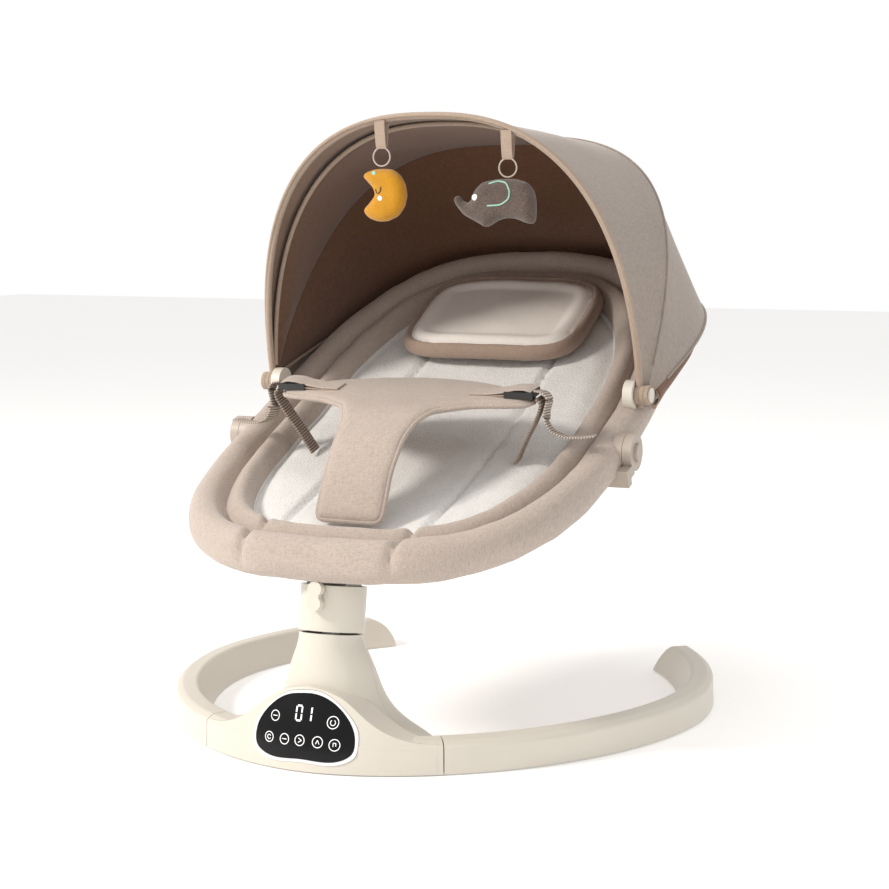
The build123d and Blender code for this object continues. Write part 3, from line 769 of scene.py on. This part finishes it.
# each strap's width, thickness, upward side, and route on the right of the seat
straps = {
    "LapWeb": {"size": (0.0165, 0.0026), "up": (1, 0, 0), "route": [
        (0.152, -0.128, 0.3565), (0.1575, -0.1275, 0.3535), (0.156, -0.126, 0.3465), (0.147, -0.121, 0.330),
        (0.132, -0.114, 0.306), (0.121, -0.108, 0.286)]},
    "LapTail": {"size": (0.0175, 0.0018), "up": (0, 0, 1), "route": [
        (0.150, -0.127, 0.3640), (0.160, -0.127, 0.3628), (0.1655, -0.127, 0.3560), (0.162, -0.127, 0.3450),
        (0.1605, -0.127, 0.3330), (0.167, -0.126, 0.3220), (0.182, -0.124, 0.3160), (0.200, -0.122, 0.3165),
        (0.213, -0.120, 0.3185)]},
    "PadFlap": {"size": (0.0205, 0.0018), "up": (0, -0.216, 0.976), "route": [
        (0.078, -0.128, 0.3606), (0.098, -0.128, 0.3612), (0.118, -0.128, 0.3640), (0.128, -0.128, 0.3668),
        (0.141, -0.128, 0.3674), (0.1485, -0.128, 0.3650)]},
    "PadTape": {"size": (0.0200, 0.0014), "up": (0, -0.216, 0.976), "route": [
        (0.074, -0.128, 0.3585), (0.100, -0.128, 0.3592), (0.119, -0.128, 0.3604)]},
}


def strap(side, sign, kind, body, material):
    route = np.array(straps[kind]["route"]) * (sign, 1, 1)
    obj = rodOf(side + kind, smoothPath(route, 60, False, 5), strapOutline(*straps[kind]["size"]),
                up=straps[kind]["up"], uvStep=0.0095)
    finishMesh(obj, [material], 50)
    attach(obj, body)
    return obj


for side, sign in (("left", -1), ("right", 1)):
    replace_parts(strap(side, sign, "LapWeb", "swing", webbing), side + "_lap_strap")
    strap(side, sign, "LapTail", "swing", tailWebbing)
    strap(side, sign, "PadFlap", "harness", linenInner)
    strap(side, sign, "PadTape", "harness", piping)
knot = [(-0.010, 0.262, 0.4925), (-0.006, 0.2615, 0.4955), (0.0, 0.262, 0.4930), (0.005, 0.2615, 0.4960),
        (0.0095, 0.262, 0.4925)]
ribbon = rodOf("headRibbon", smoothPath(knot, 30, False, 2), strapOutline(0.0045, 0.0012), up=(0, -0.5, 0.86))
finishMesh(ribbon, [canopyInner], 50)
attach(ribbon, "backrest")
print("straps done")


toys = {
    "moon": {
        "x": -0.053, "shift": (0.003, 0.0305), "half": 0.0105, "slot": "moon_felt",
        "outline": [
            (0.0, 0.0285), (0.010, 0.0275), (0.018, 0.021), (0.023, 0.011), (0.0245, -0.001), (0.022, -0.013),
            (0.015, -0.023), (0.004, -0.0285), (-0.006, -0.029), (-0.015, -0.026), (-0.021, -0.020),
            (-0.0215, -0.015), (-0.015, -0.008), (-0.009, 0.000), (-0.011, 0.007), (-0.018, 0.015),
            (-0.0225, 0.020), (-0.020, 0.0245), (-0.010, 0.028)],
        "spread": 1.1,
        "eye": [(-0.0065, 0.0065), (-0.0055, 0.0025), (-0.0025, 0.0015), (0.0002, 0.0045), (0.0008, 0.0090)],
    },
    "elephant": {
        "x": 0.095, "shift": (-0.014, 0.0275), "half": 0.0125, "slot": "grey_marl",
        "outline": [
            (-0.0465, 0.0085), (-0.043, 0.0095), (-0.037, 0.002), (-0.030, 0.001), (-0.027, 0.006),
            (-0.024, 0.014), (-0.015, 0.023), (0.002, 0.0265), (0.022, 0.0265), (0.036, 0.023),
            (0.044, 0.014), (0.0465, 0.001), (0.0465, -0.014), (0.044, -0.0215), (0.036, -0.0205),
            (0.024, -0.0155), (0.012, -0.015), (0.003, -0.0175), (-0.004, -0.022), (-0.011, -0.0255),
            (-0.018, -0.021), (-0.026, -0.017), (-0.036, -0.012), (-0.044, -0.003), (-0.0485, 0.0045)],
        "spread": 1.0,
        "ear": [(-0.004, 0.0215), (0.006, 0.0245), (0.0165, 0.0225), (0.0215, 0.0135), (0.0200, 0.0050),
                (0.0110, -0.0010), (-0.0045, -0.0020)],
    },
}
loopDrop = 0.026  # from the front bow down to the ring's pivot
ringDrop = 0.0211  # from the pivot down to the toy's loop


def toyAnchor(x):
    bow = bows["front"]
    share = (abs(x) + 0.006) / bow["half"]
    height = bow["height"] * (1 - share ** bow["power"]) ** (1 / bow["power"])
    tilt = math.radians(bow["tilt"])
    return clipY + height * math.sin(tilt), clipZ + height * math.cos(tilt) - 0.0024


# folded strap over the front bow that holds a ring
def toyLoop(name, x):
    y, z = toyAnchor(x)
    line = [(x, y + 0.0045, z + 0.0035), (x, y + 0.0042, z - 0.006), (x, y + 0.0024, z - 0.0235),
            (x, y, z - 0.0284), (x, y - 0.0024, z - 0.0235), (x, y - 0.0052, z - 0.006),
            (x, y - 0.0058, z + 0.0035)]
    path = smoothPath(line, 40, False, 2)
    obj = rodOf(name + "Strap", path, strapOutline(0.0118, 0.0014), up=(0.001, 1, 0.02))
    finishMesh(obj, [piping], 50)
    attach(obj, "canopy_front")
    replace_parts(obj, name + "_loop")


# toy on an upright outline; its front looks towards -Y
def stuffedToy(name, place, material):
    shape = toys[name]
    loop = smoothPath(shape["outline"], 150, True, 3) * (shape["spread"], 1.0)
    obj, co = stuffed(name + "Toy", loop, shape["half"], 0.0017, 0.013, 0.12)
    co[:, 2] += ripple(co, 70.0, 1.0) * 0.0005
    setCo(obj, np.stack([co[:, 0], -co[:, 2], co[:, 1]], -1) + np.asarray(place))
    weld(obj, 0.00001)
    settle(obj, 3, 0.5)
    finishMesh(obj, [material], 60)
    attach(obj, name)
    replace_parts(obj, name + "_toy")
    return obj


# point of a toy's front face at x, z
def onFront(obj, x, z):
    tree = BVHTree.FromObject(obj, bpy.context.evaluated_depsgraph_get())
    hit = tree.ray_cast(Vector((x, -1, z)), Vector((0, 1, 0)))[0]
    return hit if hit else Vector((x, obj.data.vertices[0].co.y, z))


# domed dot sewn on a toy's front
def button(name, obj, x, z, radius, material, body):
    spot = onFront(obj, x, z)
    deselect()
    bpy.ops.mesh.primitive_uv_sphere_add(segments=24, ring_count=12, radius=radius, location=(x, spot.y, z))
    dot = bpy.context.object
    dot.name = name
    dot.scale = (1, 0.45, 1)
    bpy.ops.object.transform_apply(location=True, rotation=False, scale=True)
    co = getCo(dot)
    ring = np.hypot(co[:, 0] - x, co[:, 2] - z) / radius
    co[:, 1] += np.where(ring < 0.45, 0.0003, 0)
    setCo(dot, co)
    finishMesh(dot, [material], 60)
    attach(dot, body)


def stitchLine(name, obj, points, radius, material, body):
    spots = [(x, onFront(obj, x, z).y - radius * 0.4, z) for x, z in smoothPath(points, 40, False, 3)]
    line = rodOf(name, spots, roundOutline(radius, radius, 8), up=(0, 1, 0.001))
    finishMesh(line, [material], 60)
    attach(line, body)


def hangToy(name, material):
    x = toys[name]["x"]
    toyLoop(name, x)
    y, z = toyAnchor(x)
    aside, below = toys[name]["shift"]
    place = (x + aside, y, z - loopDrop - ringDrop - below)
    return stuffedToy(name, place, material), place


moon, spot = hangToy("moon", yellowFelt)
button("moonDot", moon, spot[0] - 0.0085, spot[2] + 0.0235, 0.0027, mint, "moon")
button("moonCheek", moon, spot[0] - 0.0005, spot[2] - 0.0035, 0.0029, whiteFelt, "moon")
eye = [(spot[0] + u, spot[2] + v) for u, v in toys["moon"]["eye"]]
stitchLine("moonEye", moon, eye, 0.0006, blackThread, "moon")
elephant, spot = hangToy("elephant", greyMarl)
button("elephantEye", elephant, spot[0] - 0.0195, spot[2] + 0.0070, 0.0036, whiteFelt, "elephant")
ear = [(spot[0] + u, spot[2] + v) for u, v in toys["elephant"]["ear"]]
stitchLine("elephantEar", elephant, ear, 0.0009, mint, "elephant")
print("toys done")


panelTree = BVHTree.FromObject(nodes["control_panel"], bpy.context.evaluated_depsgraph_get())


def onPanel(x, z, lift):
    hit, normal = panelTree.ray_cast(Vector((x, -1, z)), Vector((0, 1, 0)))[:2]
    if normal.y > 0:
        normal = -normal
    return hit + normal * lift


# printed line on the panel's front, in white ink with a faint painted glow
def mark(name, points, radius, closed=False):
    line = smoothPath(points, 36, closed, 0 if closed else 1)
    if closed:
        line = np.vstack([line, line[:2]])
    spots = [onPanel(x, z, 0.00012) for x, z in line]
    obj = rodOf(name, spots, roundOutline(radius, 0.00018, 6), up=(0.3, -1, 0.2))
    finishMesh(obj, [glowInk], 60)
    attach(obj, "base")


def ringPoints(x, z, radius, first=0, last=360, count=36):
    turns = np.radians(np.linspace(first, last, count, endpoint=last - first < 360))
    return [(x + radius * math.cos(t), z + radius * math.sin(t)) for t in turns]


panel = {
    # rings round the touch marks: place across, place up, radius
    "rings": [(-0.033, 0.0524, 0.0049), (0.0315, 0.0515, 0.0058), (-0.0378, 0.0314, 0.0049),
              (-0.0192, 0.0316, 0.0050), (-0.0018, 0.0321, 0.0051), (0.0176, 0.0319, 0.0053),
              (0.0352, 0.0302, 0.0055)],
    "signs": {
        "plus": [(-0.0356, 0.0524), (-0.0304, 0.0524)],
        "power": ringPoints(0.0315, 0.0513, 0.0026, 120, 420, 20),
        "dial": ringPoints(-0.0378, 0.0314, 0.0021, 30, 330, 16),
        "minus": [(-0.0217, 0.0316), (-0.0167, 0.0316)],
        "play": [(-0.0032, 0.0342), (0.0004, 0.0321), (-0.0032, 0.0300)],
        "bars": [(0.0157, 0.0300), (0.0176, 0.0338), (0.0195, 0.0300)],
        "note": [(0.0338, 0.0286), (0.0338, 0.0321), (0.0366, 0.0321), (0.0366, 0.0290)],
    },
    "digit": (0.0060, 0.0070), "digitLine": 0.0009, "digitGap": 0.09,
    # ends of each digit bar, in steps across and up
    "bars": {"a": ((0, 2), (1, 2)), "b": ((1, 2), (1, 1)), "c": ((1, 1), (1, 0)),
             "d": ((0, 0), (1, 0)), "e": ((0, 1), (0, 0)), "f": ((0, 2), (0, 1))},
}
for index, (x, z, radius) in enumerate(panel["rings"]):
    mark(f"iconRing{index}", ringPoints(x, z, radius), 0.00042, True)
for name, points in panel["signs"].items():
    mark(name + "Mark", points, 0.0004)


def digit(name, x, z, letters):
    wide, tall = panel["digit"]
    for letter in letters:
        first, last = (np.array((x + wide * (u - 0.5), z + tall * (v - 1))) for u, v in panel["bars"][letter])
        gap = (last - first) * panel["digitGap"]
        mark(name + letter, [first + gap, last - gap], panel["digitLine"])


digit("zero", -0.0055, 0.0577, "abcdef")
digit("one", 0.0052, 0.0577, "bc")
print("panel done")


deselect()
bpy.ops.mesh.primitive_plane_add(size=14, location=(0, 2, 0))
floor = bpy.context.object
floor.name = "floor"
floorMaterial, floorTree, floorShader, floorPlace = nodeTree("floorPaint")
floorStops = [(0.3, (0.96, 0.96, 0.96)), (0.7, (0.97, 0.97, 0.97))]
floorTone = addRamp(floorTree, addNoise(floorTree, floorPlace, 3.0), floorStops)
floorTree.links.new(floorTone, floorShader.inputs["Base Color"])
floorShader.inputs["Roughness"].default_value = 0.85
floorShader.inputs["Emission Color"].default_value = (1, 1, 1, 1)
floorShader.inputs["Emission Strength"].default_value = 0.2
floor.data.materials.append(floorMaterial)


lamps = {
    "keyLight": {"place": (-1.9, -1.9, 1.9), "aim": (0, -0.05, 0.3),
                 "size": 0.6, "power": 68, "colour": (1.0, 0.95, 0.88)},
    "fillLight": {"place": (2.2, -1.8, 1.4), "aim": (0, 0, 0.3),
                  "size": 2.2, "power": 8, "colour": (1.0, 0.93, 0.86)},
    "topLight": {"place": (-0.3, 0.6, 2.6), "aim": (0, 0, 0.3),
                 "size": 1.6, "power": 18, "colour": (1.0, 0.98, 0.95)},
}
for name, light in lamps.items():
    deselect()
    bpy.ops.object.light_add(type="AREA", location=light["place"])
    lamp = bpy.context.object
    lamp.name = name
    lamp.data.shape = "DISK"
    lamp.data.size = light["size"]
    lamp.data.energy = light["power"]
    lamp.data.color = light["colour"]
    lamp.rotation_euler = (Vector(light["aim"]) - Vector(light["place"])).to_track_quat("-Z", "Y").to_euler()

# the world lights the scene softly and is plain white where the camera sees it
world = bpy.data.worlds.new("studio")
bpy.context.scene.world = world
world.use_nodes = True
sky = world.node_tree.nodes["Background"]
sky.inputs["Color"].default_value = (1.0, 0.985, 0.965, 1)
sky.inputs["Strength"].default_value = 0.72
backdrop = world.node_tree.nodes.new("ShaderNodeBackground")
backdrop.inputs["Color"].default_value = (1.0, 1.0, 1.0, 1)
seen = world.node_tree.nodes.new("ShaderNodeLightPath")
either = world.node_tree.nodes.new("ShaderNodeMixShader")
world.node_tree.links.new(seen.outputs["Is Camera Ray"], either.inputs[0])
world.node_tree.links.new(sky.outputs[0], either.inputs[1])
world.node_tree.links.new(backdrop.outputs[0], either.inputs[2])
world.node_tree.links.new(either.outputs[0], world.node_tree.nodes["World Output"].inputs["Surface"])

deselect()
bpy.ops.object.camera_add(location=(0.958, -2.143 - shiftY, 0.555),
                          rotation=(math.radians(83.54), 0, math.radians(24.175)))
camera = bpy.context.object
camera.name = "mainCamera"
camera.data.sensor_width = 36
camera.data.lens = 85.04
bpy.context.scene.camera = camera
bpy.context.scene.view_settings.view_transform = "Standard"

print("scene ready")
